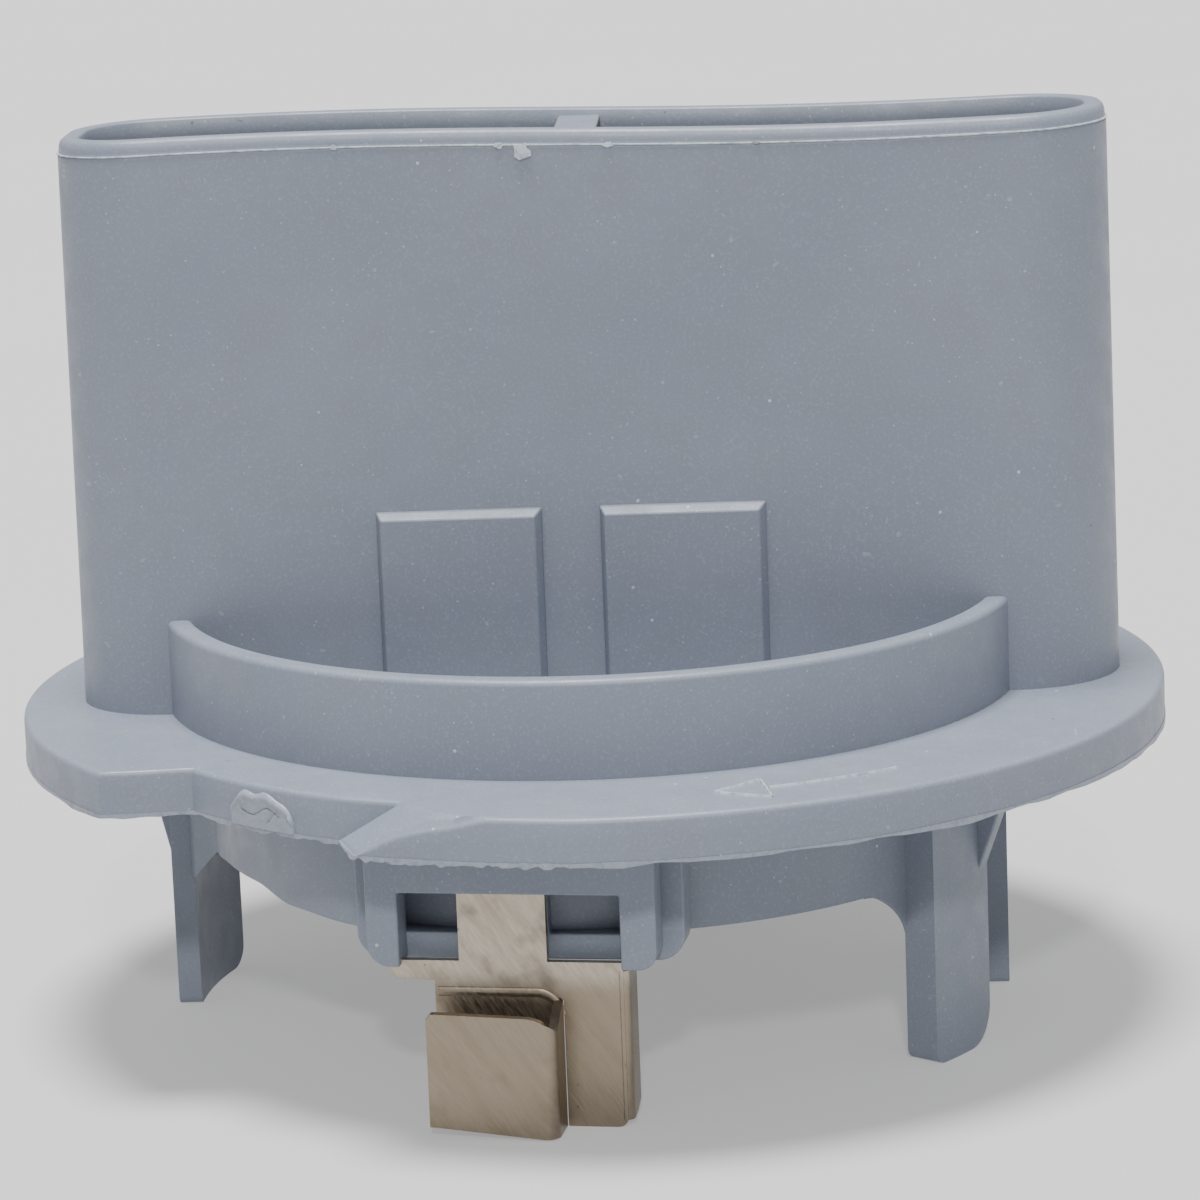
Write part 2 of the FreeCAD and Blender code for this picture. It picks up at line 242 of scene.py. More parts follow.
# %% The plated metal
NICKEL = (0.36, 0.315, 0.255, 1)
NICKEL_PALE = (0.47, 0.42, 0.35, 1)
NICKEL_BROWN = (0.20, 0.155, 0.105, 1)
STAIN = (0.13, 0.112, 0.088, 1)


def plated():
    material, seed, place = start("nickel_plate")
    slanted = stretched(place, (0.0, 0.62, 0.0), (1.0, 1.0, 1.0))
    lines = stretched(slanted, (0.0, 0.0, 0.0), (1.0, 1.0, 0.10))
    up_the_sheet = place.node("ShaderNodeSeparateXYZ", out=2, Vector=place)
    # colour only: the sheet turns darker and browner from about 7 mm below the flange downwards
    darker_towards_bottom = up_the_sheet.fade((FOOT - 8.6) * MM, (FOOT - 7.2) * MM, 1.0, 0.0)
    rolled = noise(lines, 0.11, 2.0, 0.6)
    broad = noise(lines, 0.6, 2.0)
    colour = rolled.fade(0.3, 0.72).mix(NICKEL, NICKEL_PALE)
    colour = (broad.fade(0.45, 0.75) * 0.30).mix(colour, NICKEL_BROWN)
    stain = noise(place, 2.6, 3.0, 0.6).fade(0.52, 0.74)
    colour = (stain * 0.6).mix(colour, STAIN)
    colour = (darker_towards_bottom * 0.66).mix(colour, NICKEL_BROWN)
    pits = specks(place, 0.9, 0.07) * noise(place, 1.6).fade(0.5, 0.6)
    colour = (pits * 0.5).mix(colour, STAIN)
    rough = rolled.fade(0.25, 0.75, 0.30, 0.46) + stain * 0.10
    height = rolled * 0.012 + broad * 0.006 - pits * 0.02
    bump = seed.node("ShaderNodeBump", Strength=0.6, Distance=MM, Height=height)
    shader = seed.node(
        "ShaderNodeBsdfPrincipled", Base_Color=colour, Roughness=rough, Normal=bump, Metallic=1.0,
    )
    return close(material, shader)


nickel = plated()

# %% [markdown]
# ## Mesh helpers
# Nearly every surface here is a row of rings joined into a skin: rings around the axis, rings up the
# grip, or two copies of a flat outline. One function joins rings, and one turns the result into a piece
# that rides on its body, stands for its design nodes, and has its hard edges rolled over.

# %% Skin, outline and piece
def skin(rings, loop=False):
    count = len(rings[0])
    points = [point for ring in rings for point in ring]
    faces = []
    spans = len(rings) if loop else len(rings) - 1
    for row in range(spans):
        here = row * count
        there = (row + 1) % len(rings) * count
        for k in range(count):
            n = (k + 1) % count
            faces.append((here + k, here + n, there + n, there + k))
    if not loop:
        last = (len(rings) - 1) * count
        faces.append(tuple(reversed(range(count))))
        faces.append(tuple(range(last, last + count)))
    return points, faces


def joined(*skins):
    points = []
    faces = []
    for more_points, more_faces in skins:
        base = len(points)
        points += more_points
        faces += [tuple(base + k for k in face) for face in more_faces]
    return points, faces


def turned(points, azimuth):
    angle = math.radians(azimuth)
    c, s = math.cos(angle), math.sin(angle)
    return [(c * x - s * y, s * x + c * y, z) for x, y, z in points]


def polar(radius, azimuth, z=0.0):
    angle = math.radians(azimuth)
    return (radius * math.sin(angle), -radius * math.cos(angle), z)


def steps(first, last, count):
    return [first + (last - first) * k / count for k in range(count + 1)]


def smooth(value, low, high):
    t = min(max((value - low) / (high - low), 0.0), 1.0)
    return t * t * (3 - 2 * t)


pieces = {}
weld_distance = 1e-7
bevel_steps = 3
bevel_angle = math.radians(30)


def piece(name, shape, finish, stands_for=(), bevel=0.0, crease=35.0, body="cap", facing=None):
    points, faces = shape
    if facing is not None:
        points = turned(points, facing)
    mesh = bpy.data.meshes.new(name)
    mesh.from_pydata([(x * MM, y * MM, (z + FOOT) * MM) for x, y, z in points], [], faces)
    work = bmesh.new()
    work.from_mesh(mesh)
    bmesh.ops.remove_doubles(work, verts=work.verts, dist=weld_distance)
    bmesh.ops.recalc_face_normals(work, faces=work.faces)
    for face in work.faces:
        face.smooth = True
    for edge in work.edges:
        if not bevel and edge.is_manifold and edge.calc_face_angle() > math.radians(crease):
            edge.smooth = False
    work.to_mesh(mesh)
    work.free()
    made = bpy.data.objects.new(name, mesh)
    bpy.context.scene.collection.objects.link(made)
    mesh.materials.append(finish)
    if bevel:
        rolled = made.modifiers.new("rolled edges", "BEVEL")
        rolled.width = bevel * MM
        rolled.segments = bevel_steps
        rolled.angle_limit = bevel_angle
        rolled.harden_normals = True
    if body:
        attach(made, body)
    if stands_for:
        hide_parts(*stands_for)
    "plated_contact" if finish == nickel else "moulding"
    pieces[name] = made
    print(name, len(mesh.vertices), "vertices")
    return made


# %% [markdown]
# ## Flange
# The flange is a thick disc with a wide notch in its rim. The notch has a slanting left end, a curved
# floor and a ramp at its right end, which lifts the cap as it is twisted home. A polar grid is the
# easiest way to get all that: each column knows its rim radius, and each point its height on the ramp.

# %% Rim and ramp
notch_left_rim, notch_left, ramp_start, notch_right = -52.8, -47.5, -25.4, -21.0
notch_r_left, notch_r_right = 26.2, 26.9
relief = 0.65
ramp_slope = 0.286
ramp_curve = 5.2
ramp_least = 0.06


def rim_radius(azimuth):
    if notch_left_rim <= azimuth < notch_left:
        share = (azimuth - notch_left_rim) / (notch_left - notch_left_rim)
        start_point = Vector(polar(flange_r, notch_left_rim))
        end_point = Vector(polar(notch_r_left, notch_left))
        return start_point.lerp(end_point, share).length
    if notch_left <= azimuth < ramp_start:
        share = (azimuth - notch_left) / (ramp_start - notch_left)
        return notch_r_left + (notch_r_right - notch_r_left) * share
    if ramp_start <= azimuth < notch_right:
        share = (azimuth - ramp_start) / (notch_right - ramp_start)
        start_point = Vector(polar(notch_r_right, ramp_start))
        end_point = Vector(polar(flange_r - relief, notch_right))
        return start_point.lerp(end_point, share).length
    if notch_right <= azimuth < 0:
        return flange_r - relief * (1 - ((azimuth - notch_right) / -notch_right) ** 2)
    return flange_r


def plate_height(azimuth, radius):
    if not ramp_start <= azimuth < 0 or radius < notch_r_right - 0.01:
        return flange_top
    inner = ramp_slope * (azimuth - ramp_start)
    past = max(azimuth - notch_right, 0.0)
    outer = 2.05 * (1 - math.exp(-past / ramp_curve)) + 0.35 * smooth(past, 9, 15)
    width = max(rim_radius(azimuth) - notch_r_right, 0.3)
    share = min(max((radius - notch_r_right) / width, 0.0), 1.0)
    return min(flange_top, max(inner + (outer - inner) * share, ramp_least))


# %% [markdown]
# A column runs from the hub over the top, round the rim's rolled edge and back below. Every column has
# the same number of points, so the notch wall and the ramp's end stay clean steps between two columns.

# %% Flange columns
hub_r = 8.0
plate_rows = (hub_r, 20, 24)
edge_round = 0.28
wall_roll = ((1.6, 0.0), (edge_round, 0.0), (0.10, 0.05), (0.02, 0.15), (0.0, edge_round))


def flange_column(azimuth, trim=0.04):
    # rows up to the notch wall come first, then the rows of the rim band or of the ramp beyond it
    rim = rim_radius(azimuth) - trim
    on_ramp = ramp_start <= azimuth < 0
    wall_r = min(rim if on_ramp else rim - 0.6, notch_r_right)
    has_band = rim > wall_r + 0.02
    beyond = plate_height(azimuth, wall_r + 0.02) if has_band else ramp_least
    ring = [polar(radius, azimuth, flange_top) for radius in plate_rows]
    for inset, drop in wall_roll:
        ring.append(polar(wall_r - inset, azimuth, max(flange_top - drop, beyond)))
    edge = min(edge_round, 0.5 * (rim - wall_r))
    for radius in steps(wall_r, rim - edge, 9):
        height = plate_height(azimuth, max(radius, wall_r + 0.02)) if has_band else beyond
        ring.append(polar(radius, azimuth, height))
    top = plate_height(azimuth, rim) if has_band else beyond
    roll = min(edge, top * 0.5)
    for turn in (22, 45, 68, 90):
        a = math.radians(turn)
        ring.append(polar(rim - edge + edge * math.sin(a), azimuth, top - roll * (1 - math.cos(a))))
    ring.append(polar(rim, azimuth, 0.45 * top))
    for radius in (rim, plate_rows[-1], hub_r):
        ring.append(polar(radius, azimuth, 0.0))
    return ring


def flange_azimuths():
    list_az = steps(-180, notch_left_rim, 84)
    list_az += steps(notch_left_rim, notch_left, 8)[1:]
    list_az += steps(notch_left, ramp_start - 0.01, 44)[1:]
    list_az += steps(ramp_start, notch_right, 14)[:-1]
    list_az += steps(notch_right, 0, 86)
    list_az += steps(0, 180, 120)[1:-1]
    return list_az


columns = [flange_column(azimuth) for azimuth in flange_azimuths()]
flange_shape = skin(columns, loop=True)
count = len(columns[0])
hub_top = tuple(row * count for row in range(len(columns)))
hub_low = tuple(reversed([row * count + count - 1 for row in range(len(columns))]))
kept = [f for f in flange_shape[1] if not ({v % count for v in f} == {0, count - 1})]
flange_shape = (flange_shape[0], kept + [hub_top, hub_low])
piece("flange_plate", flange_shape, plastic, ("flange",), crease=38)

# %% [markdown]
# Where the mould halves meet, a thin wavy fin of plastic is squeezed out along the flange's lower edge.
# It catches the light as a pale line, so it is a separate ribbon with a seeded, uneven depth.

# %% Flange flash
def uneven(count, seed, low, high, wave):
    rng = random.Random(seed)
    raw = [rng.random() for _ in range(count)]
    result = []
    for k in range(count):
        near = [raw[(k + d) % count] for d in range(-wave, wave + 1)]
        result.append(low + (high - low) * (sum(near) / len(near) * 0.75 + raw[k] * 0.25))
    return result


def flange_flash():
    azimuths = flange_azimuths()
    depths = uneven(len(azimuths), 11, 0.0, 0.30, 1)
    rings = []
    for azimuth, depth in zip(azimuths, depths):
        rim = rim_radius(azimuth)
        rings.append([
            polar(rim - 0.14, azimuth, 0.02), polar(rim - 0.005, azimuth, 0.03 + 0.25 * depth),
            polar(rim - 0.005, azimuth, -depth), polar(rim - 0.06, azimuth, -depth),
        ])
    return skin(rings, loop=True)


piece("flange_flash", flange_flash(), scarred, crease=60)

# %% [markdown]
# The gate, where the plastic ran into the mould, was broken off at the notch. What is left is a torn
# arch with cracks inside it, a little proud of the notch floor: a small displaced patch.

# %% Gate scar
scar_middle, scar_half, scar_height = -35.7, 4.6, 1.7


def gate_scar():
    rng = random.Random(5)
    across, up = 56, 26
    lumps = [(rng.uniform(-0.8, 0.8), rng.uniform(0.1, 0.8), rng.uniform(0.005, 0.025)) for _ in range(18)]
    points = []
    for row in range(up + 1):
        for k in range(across + 1):
            u = -1 + 2 * k / across
            v = row / up
            reach = 1 - abs(u + 0.12 * (1 - u * u)) ** 3.2
            z = 0.02 + scar_height * v * max(reach, 0.02) ** 0.5 * (1 + 0.05 * math.sin(9 * u))
            ridge = math.exp(-(((1 - v) - 0.12) / 0.05) ** 2) + math.exp(-((1 - abs(u) - 0.08) / 0.04) ** 2)
            lump = sum(size * math.exp(-((u - a) ** 2 + (v - b) ** 2) / 0.006) for a, b, size in lumps)
            crack = 0.20 * math.exp(-((v - 0.52 - 0.12 * math.sin(5 * u)) / 0.035) ** 2) * (abs(u) < 0.62)
            crack += 0.16 * math.exp(-((u - 0.35 - 0.5 * (v - 0.4)) / 0.035) ** 2) * (0.2 < v < 0.66)
            border = min(1.0, (1 - abs(u)) / 0.05) * min(1.0, (1 - v) / 0.06)
            proud = (0.015 + 0.05 * ridge + 0.6 * lump - 0.6 * crack) * border - 0.09 * (1 - border)
            azimuth = scar_middle + scar_half * u
            points.append(polar(rim_radius(azimuth) - 0.04 + proud, azimuth, z))
    faces = []
    for row in range(up):
        for k in range(across):
            a = row * (across + 1) + k
            faces.append((a, a + 1, a + across + 2, a + across + 1))
    return points, faces


scar = piece("gate_scar", gate_scar(), scarred, crease=80)
backed = scar.modifiers.new("thickness", "SOLIDIFY")
backed.thickness = 0.12 * MM
backed.offset = 1.0

# %% [markdown]
# A raised arrow on the flange shows which way the cap turns. It is only a fine outline, so each stroke
# is a low ridge that follows the flange, drawn with one small function.

# %% Turn arrow
def ridge(start_point, end_point, width=0.16, height=0.10, count=14):
    ahead = (Vector(polar(*end_point)) - Vector(polar(*start_point))).normalized()
    rings = []
    for k in range(count + 1):
        share = k / count
        radius = start_point[0] + (end_point[0] - start_point[0]) * share
        azimuth = start_point[1] + (end_point[1] - start_point[1]) * share
        here = Vector(polar(radius, azimuth, flange_top))
        side = Vector((-ahead.y, ahead.x, 0)) * width / 2
        top = Vector((0, 0, height))
        low = Vector((0, 0, -0.03))
        ring = [here - side + low, here - side * 0.4 + top, here + side * 0.4 + top, here + side + low]
        rings.append([tuple(point) for point in ring])
    return skin(rings)


arrow_tip = (26.44, 14.5)
arrow_strokes = [
    ridge((26.65, 20.3), (26.7, 35.2)),
    ridge(arrow_tip, (28.4, 19.3)),
    ridge(arrow_tip, (25.0, 20.6)),
    ridge((28.4, 19.3), (25.0, 20.6)),
]
piece("turn_arrow_ridge", joined(*arrow_strokes), torn, ("turn_arrow",), crease=60)

# %% [markdown]
# ## Grip
# The grip is an oblong tube with a slight draft. It cooled unevenly: the broad walls sink a little and
# the rim waves. Rings of one outline are lofted up the outside, over a rounded rim and down the inside.

# %% Grip rings
left_r, right_r = 4.7, 5.7
draft = math.tan(math.radians(0.5))
rim_wave = 0.25
wall = 1.2


def grip_ring(inset, z):
    left, right = sleeve_left + inset, sleeve_right - inset
    front, rear = sleeve_front + inset, sleeve_rear - inset
    corners = [
        (right - right_r + inset, front + right_r - inset, right_r - inset, -90),
        (right - right_r + inset, rear - right_r + inset, right_r - inset, 0),
        (left + left_r - inset, rear - left_r + inset, left_r - inset, 90),
        (left + left_r - inset, front + left_r - inset, left_r - inset, 180),
    ]
    ring = []
    for x in steps(corners[3][0], corners[0][0], 48)[1:-1]:
        ring.append((x, front))
    for n, (cx, cy, radius, begin) in enumerate(corners):
        for turn in steps(begin, begin + 90, 14):
            a = math.radians(turn)
            ring.append((cx + radius * math.cos(a), cy + radius * math.sin(a)))
        if n == 1:
            for x in steps(cx, corners[2][0], 48)[1:-1]:
                ring.append((x, rear))
    return [warped(x, y, z) for x, y in ring]


def warped(x, y, z):
    middle = (sleeve_front + sleeve_rear) / 2
    toward = 1 if y < middle else -1
    broad = min(1.0, abs(y - middle) / 4.0) * (1 - smooth(abs(x), 22.5, 26.5))
    sink = 0.24 * math.exp(-((x - 1) / 12) ** 2 - ((z - 18) / 8.5) ** 2)
    fold = x - 21.5 + (28 - z) * 0.16
    sink += 0.10 * math.exp(-(fold / 1.5) ** 2) * smooth(z, 10, 27)
    sink += 0.09 * math.exp(-((x - 16 + (28 - z) * 0.7) / 3.2) ** 2) * smooth(z, 12, 26)
    share = smooth(z, 4, sleeve_top)
    wave = -rim_wave * math.sin(math.pi * x / 27.3) * share
    return (x, y + toward * sink * broad, z + wave)


rim_z = sleeve_top - rim_wave
lip = [
    (0.00, -0.85), (0.05, -0.80), (0.06, -0.62), (0.08, -0.40), (0.16, -0.18), (0.32, -0.04),
    (0.55, 0.0), (0.90, -0.01), (1.08, -0.05), (1.15, -0.14), (1.17, -0.90),
]


def grip_shape():
    rings = [grip_ring(0.0, flange_top - 0.1)]
    for z in steps(flange_top + 0.3, rim_z - 1.0, 26):
        rings.append(grip_ring((z - flange_top) * draft, z))
    full = (rim_z - flange_top) * draft
    for inset, drop in lip:
        rings.append(grip_ring(full + inset, rim_z + drop))
    for z in steps(rim_z - 1.3, flange_top - 0.1, 14):
        rings.append(grip_ring((z - flange_top) * draft + wall, z))
    return skin(rings, loop=True)


piece("oblong_grip", grip_shape(), plastic, ("grip_sleeve",), crease=50)

# %% [markdown]
# A second parting line runs just under the rim. Its flash is a fine pale thread with torn flakes on it,
# and a few shreds hang from the far rim.

# %% Rim flash
def rim_thread(drop, height, proud, seed):
    full = (rim_z - flange_top) * draft
    low = grip_ring(full - proud, rim_z + drop)
    depths = uneven(len(low), seed, 0.3, 1.0, 3)
    rings = []
    for (x, y, z), (ix, iy, _), share in zip(low, grip_ring(full + 0.12, rim_z + drop), depths):
        h = height * share
        rings.append([(ix, iy, z - h), (x, y, z - h * 0.5), (x, y, z + h * 0.5), (ix, iy, z + h)])
    return skin(rings, loop=True)


def flake(x, y, z, wide, tall, seed, lean=0.0):
    rng = random.Random(seed)
    count = 11
    rim = []
    for k in range(count):
        a = 2 * math.pi * k / count
        r = rng.uniform(0.55, 1.0)
        px = x + 0.5 * wide * r * math.cos(a)
        pz = z - 0.5 * tall + 0.5 * tall * r * math.sin(a)
        rim.append((px, y + lean * (z - pz) + rng.uniform(-0.05, 0.05), pz))
    back = [(px, py + 0.07, pz) for px, py, pz in rim]
    return skin([rim, back])


piece("rim_flash", rim_thread(-0.80, 0.085, 0.055, 21), torn, crease=70)
front_y = sleeve_front + 0.24
far_y = sleeve_rear - 0.24 - 1.15
near_flakes = [
    (-2.4, 1.25, 0.95), (-3.5, 0.6, 0.4), (-11.9, 0.5, 0.32), (2.0, 0.8, 0.34), (9.5, 0.45, 0.28),
]
far_flakes = [
    (-22.6, 1.1, 1.0), (-20.2, 0.6, 0.5), (-17.9, 0.7, 0.6), (16.4, 1.2, 0.6), (4.8, 0.5, 0.4),
]
flakes = []
for n, (x, wide, tall) in enumerate(near_flakes):
    wave_z = warped(x, front_y, rim_z - 0.62)[2]
    flakes.append(flake(x, front_y - 0.04, wave_z, wide, tall, 40 + n, lean=-0.05))
for n, (x, wide, tall) in enumerate(far_flakes):
    wave_z = warped(x, far_y, rim_z - 0.15)[2]
    flakes.append(flake(x, far_y - 0.05, wave_z, wide, tall, 60 + n, lean=0.25))
piece("torn_flakes", joined(*flakes), torn, crease=60)

# %% [markdown]
# A cross wall splits the grip into two cells. It is a slab that thins upwards and flares again at its
# top edge, so it is a loft of rectangles with rolled edges.

# %% Divider
# what stands on the flange reaches a little way into it
flange_root = flange_top - 0.05


def box_ring(x_low, x_high, y_low, y_high, z):
    return [(x_low, y_low, z), (x_high, y_low, z), (x_high, y_high, z), (x_low, y_high, z)]


def divider_shape():
    rings = []
    for z, half in ((flange_root, 1.15), (12, 1.08), (24, 1.0), (30.2, 0.98), (31.45, 1.12)):
        inset = (z - flange_top) * draft + wall - 0.25
        rings.append(box_ring(0.15 - half, 0.15 + half, sleeve_front + inset, sleeve_rear - inset, z))
    return skin(rings)


piece("grip_cross_wall", divider_shape(), plastic, ("grip_divider",), bevel=0.14)

# %% [markdown]
# Two flat pads stand on each broad face, with sloping edges that let them out of the mould. Each is a
# frustum made from two rectangles, with the edges rolled over.

# %% Pads
def pad_shape(node):
    low, high = edges_of(node)
    top = high[2] - FOOT
    side = -1 if low[1] < 0 else 1
    face = (low if side < 0 else high)[1]
    root = face - side * 1.0
    foot_y = face - side * 0.5
    left, right = low[0], high[0]
    slope = 0.34
    foot_ring = [
        (left, foot_y, flange_root), (right, foot_y, flange_root),
        (right, foot_y, top), (left, foot_y, top),
    ]
    root_ring = [(x, root, z) for x, _, z in foot_ring]
    face_ring = [
        (left + slope * 0.7, face, flange_root), (right - slope, face, flange_root),
        (right - slope, face, top - slope), (left + slope * 0.7, face, top - slope),
    ]
    return skin([root_ring, foot_ring, face_ring])


for node in ("front_left_pad", "front_right_pad", "rear_left_pad", "rear_right_pad"):
    piece(node + "_relief", pad_shape(node), plastic, (node,), bevel=0.09)

# %% [markdown]
# ## Guard walls
# A curved wall stands on the flange in front of the grip and another behind it. Each is a profile with
# a round top, swept round the axis until it runs into the grip.

# %% Swept profiles
def sweep(profile, azimuths, loop=False):
    rings = []
    for azimuth in azimuths:
        outline = profile(azimuth) if callable(profile) else profile
        rings.append([polar(radius, azimuth, z) for radius, z in outline])
    return skin(rings, loop=loop)


def round_top(r_in, r_out, z_low, z_top, roll):
    outline = [(r_in, z_low), (r_out, z_low)]
    for turn in steps(0, 90, 5):
        a = math.radians(turn)
        outline.append((r_out - roll * (1 - math.cos(a)), z_top - roll * (1 - math.sin(a))))
    for turn in steps(90, 180, 5):
        a = math.radians(turn)
        outline.append((r_in + roll * (1 + math.cos(a)), z_top - roll * (1 - math.sin(a))))
    return outline


guard_in = guard_r - 1.25
guard_profile = round_top(guard_in, guard_r, flange_root, guard_top, 0.32)
reach = math.degrees(math.acos((-sleeve_front - 0.55) / guard_r))
piece("front_guard_rim", sweep(guard_profile, steps(-reach, reach, 96)), plastic, ("front_guard_wall",))
reach = math.degrees(math.acos((sleeve_rear - 0.55) / guard_r))
rear_azimuths = steps(180 - reach, 180 + reach, 96)
piece("rear_guard_rim", sweep(guard_profile, rear_azimuths), plastic, ("rear_guard_wall",))

# %% [markdown]
# ## Skirt and legs
# The skirt guides the cap into its hole. Its lower edge steps up towards the left leg. The legs are
# sectors of slightly larger rings, with round corners at the foot. Webs join the front and the left leg,
# which stand clear of the skirt, to the skirt, and thin ribs brace both.

# %% Skirt
# what hangs below the flange reaches this far into it
seat = 0.02
skirt_in = skirt_r - 1.5
skirt_points = [
    (-84, 6.1), (-69, 5.6), (-58, 5.6), (-48, 6.2), (-35, 6.45), (14, 6.22), (44, 6.24), (276, 6.1),
]


def skirt_drop(azimuth):
    for (a, drop_a), (b, drop_b) in zip(skirt_points, skirt_points[1:]):
        if a <= azimuth <= b:
            if a == 44:
                return 6.25 - 0.15 * smooth(azimuth, 270, 276)
            return drop_a + (drop_b - drop_a) * smooth(azimuth, a, b)
    return 6.25


def skirt_profile(azimuth):
    low = -skirt_drop(azimuth)
    return [
        (skirt_in, seat), (skirt_r, seat), (skirt_r, low + 0.22), (skirt_r - 0.07, low + 0.06),
        (skirt_r - 0.22, low), (skirt_in + 0.22, low), (skirt_in + 0.06, low + 0.06), (skirt_in, low + 0.2),
    ]


piece("skirt_wall", sweep(skirt_profile, steps(-84, 276, 300)[:-1], loop=True), plastic, ("guide_skirt",))

# %% Legs
def rise(distance, corner):
    if distance >= corner:
        return 0.0
    return corner - math.sqrt(max(corner ** 2 - (corner - distance) ** 2, 0.0))


def leg_shape(r_in, r_out, az_from, az_to, foot, corner_from, corner_to):
    middle = (r_in + r_out) / 2
    length = math.radians(az_to - az_from) * middle
    places = [length * (1 - math.cos(math.pi * k / 36)) / 2 for k in range(37)]
    rings = []
    for place in places:
        low = -foot + rise(place, corner_from) + rise(length - place, corner_to)
        azimuth = az_from + math.degrees(place / middle)
        rings.append([
            polar(r_in, azimuth, seat), polar(r_out, azimuth, seat),
            polar(r_out, azimuth, low), polar(r_in, azimuth, low),
        ])
    return skin(rings)


foot = FOOT - 0.02
front_leg_in, front_leg_out = skirt_r + 0.2, skirt_r + 2.1


def leg_web(az_corner, radius, z_top):
    rings = []
    for k in range(15):
        share = 1 - math.cos(math.pi * k / 28)
        azimuth = az_corner - math.degrees(radius * share / skirt_r)
        low = z_top - radius + math.sqrt(max(radius ** 2 - (radius * (1 - share)) ** 2, 0.0))
        r_in = skirt_in + 0.2 + (front_leg_in - skirt_in - 0.2) * (1 - share)
        r_out = skirt_r - 0.03 + 0.35 * (1 - share) ** 2
        rings.append([
            polar(r_in, azimuth, seat), polar(r_out, azimuth, seat),
            polar(r_out, azimuth, low), polar(r_in, azimuth, low),
        ])
    return skin(rings)


front_leg = joined(
    leg_shape(front_leg_in, front_leg_out, 50.4, 64.0, foot, 0.6, 2.0),
    leg_web(50.5, 2.7, -6.22),
)
piece("front_leg_blade", front_leg, plastic, ("front_leg",), bevel=0.13)
left_leg_in, left_leg_out = skirt_r + 1.42, skirt_r + 2.65
piece(
    "left_leg_blade", leg_shape(left_leg_in, left_leg_out, -111.0, -90.0, foot, 1.25, 0.55),
    plastic, ("left_leg",), bevel=0.13,
)
piece(
    "right_leg_blade", leg_shape(skirt_r - 0.02, skirt_r + 1.3, 90.0, 112.0, foot, 0.4, 1.2),
    plastic, ("right_leg",), bevel=0.13,
)

# %% Web and ribs
bridge_low = level("left_leg_bridge")
web_corner = 1.3
web_end = -83.0


def bridge_shape():
    rings = []
    for azimuth in steps(-110.5, -90.0, 12) + steps(-89.6, web_end, 12):
        run_out = smooth(azimuth, -90.0, web_end)
        r_out = left_leg_in + 0.15 - (left_leg_in + 0.2 - skirt_r) * run_out
        low = bridge_low + (-6.1 - bridge_low) * run_out
        deep = web_corner * (1 - run_out)
        outline = [(skirt_r - 0.3, seat), (r_out, seat)]
        for turn in steps(0, 90, 7):
            a = math.radians(turn)
            outline.append((r_out - 0.65 * (1 - run_out) * math.sin(a), low - deep * (1 - math.sin(a))))
        outline.append((skirt_r - 0.3, low))
        rings.append([polar(radius, azimuth, z) for radius, z in outline])
    return skin(rings)


piece("left_leg_web", bridge_shape(), plastic, ("left_leg_bridge",), bevel=0.08)


def rib_shape(outer, azimuth, drop, reach_out, thick=0.9):
    side = thick / 2
    outline = [
        (outer - 0.4, seat), (outer + reach_out, seat), (outer + reach_out * 0.93, -0.3),
        (outer, -drop), (outer - 0.4, -drop - 0.3),
    ]
    near = [(-side, -radius, z) for radius, z in outline]
    far = [(side, -radius, z) for radius, z in outline]
    points, faces = skin([near, far])
    return turned(points, azimuth), faces


piece("left_leg_rib", rib_shape(left_leg_out, -97.5, 9.5, 2.35), plastic, ("left_leg_gusset",), bevel=0.12)
piece("front_leg_rib", rib_shape(front_leg_out, 62.5, 6.0, 2.35), plastic, ("front_leg_gusset",), bevel=0.12)

# %% [markdown]
# ## Contact brackets
# Each contact is held by a moulded bracket: a base plate on the skirt, with a frame of a bar and two
# posts on it. Flat outlines are extruded along the bracket's own direction and turned to their azimuth.

# %% Brackets
front_facing = -8.5
rear_facing = front_facing + 180
contact_ends = (("front", front_facing), ("rear", rear_facing))
base_face = skirt_r + 0.65
frame_face = base_face + 1.85
strip_face = frame_face - 0.4


def extruded(outline, face, back):
    near = [(x, -face, z) for x, z in outline]
    far = [(x, -back, z) for x, z in outline]
    return skin([near, far])


def arc_points(cx, cz, radius, begin, end, count=6):
    result = []
    for turn in steps(begin, end, count):
        a = math.radians(turn)
        result.append((cx + radius * math.cos(a), cz + radius * math.sin(a)))
    return result


def base_shape():
    outline = [(-8.3, seat)] + arc_points(-7.0, -5.9, 1.3, 180, 262) + arc_points(6.7, -5.75, 1.4, 278, 352)
    outline += [(8.1, seat), (5.5, seat), (5.5, -5.85), (1.35, -5.85), (1.35, seat)]
    outline += [(-2.75, seat), (-2.75, -5.85), (-6.1, -5.85), (-6.1, seat)]
    return extruded(outline, base_face, skirt_in + 0.3)


def frame_shape():
    left, right, low, bar = -7.4, 7.0, -7.15, -3.4
    left_post, right_post = left + 1.62, right - 1.78
    outline = [(left, seat)] + arc_points(left + 1.15, low + 1.15, 1.15, 180, 262)
    outline += [(left_post, low), (left_post, bar), (right_post, bar), (right_post, low)]
    outline += arc_points(right - 0.95, low + 0.95, 0.95, 278, 360) + [(right, seat)]
    return extruded(outline, frame_face, base_face - 0.05)


for end, facing in contact_ends:
    piece(end + "_bracket_back", base_shape(), plastic, (end + "_bracket_base",), bevel=0.12, facing=facing)
    piece(
        end + "_bracket_posts", frame_shape(), plastic, (end + "_bracket_frame",), bevel=0.12,
        facing=facing,
    )

# %% [markdown]
# ## Contacts
# A contact is stamped from one sheet: a neck up into the bracket, a shoulder, and a column with its edge
# folded back. Beside the column, a tongue is folded forward and back on itself into a sprung jaw that
# takes a flat blade. Flat stretches are extruded outlines, and folds are a path swept at sheet thickness.

# %% Sheet metal
sheet = 0.45


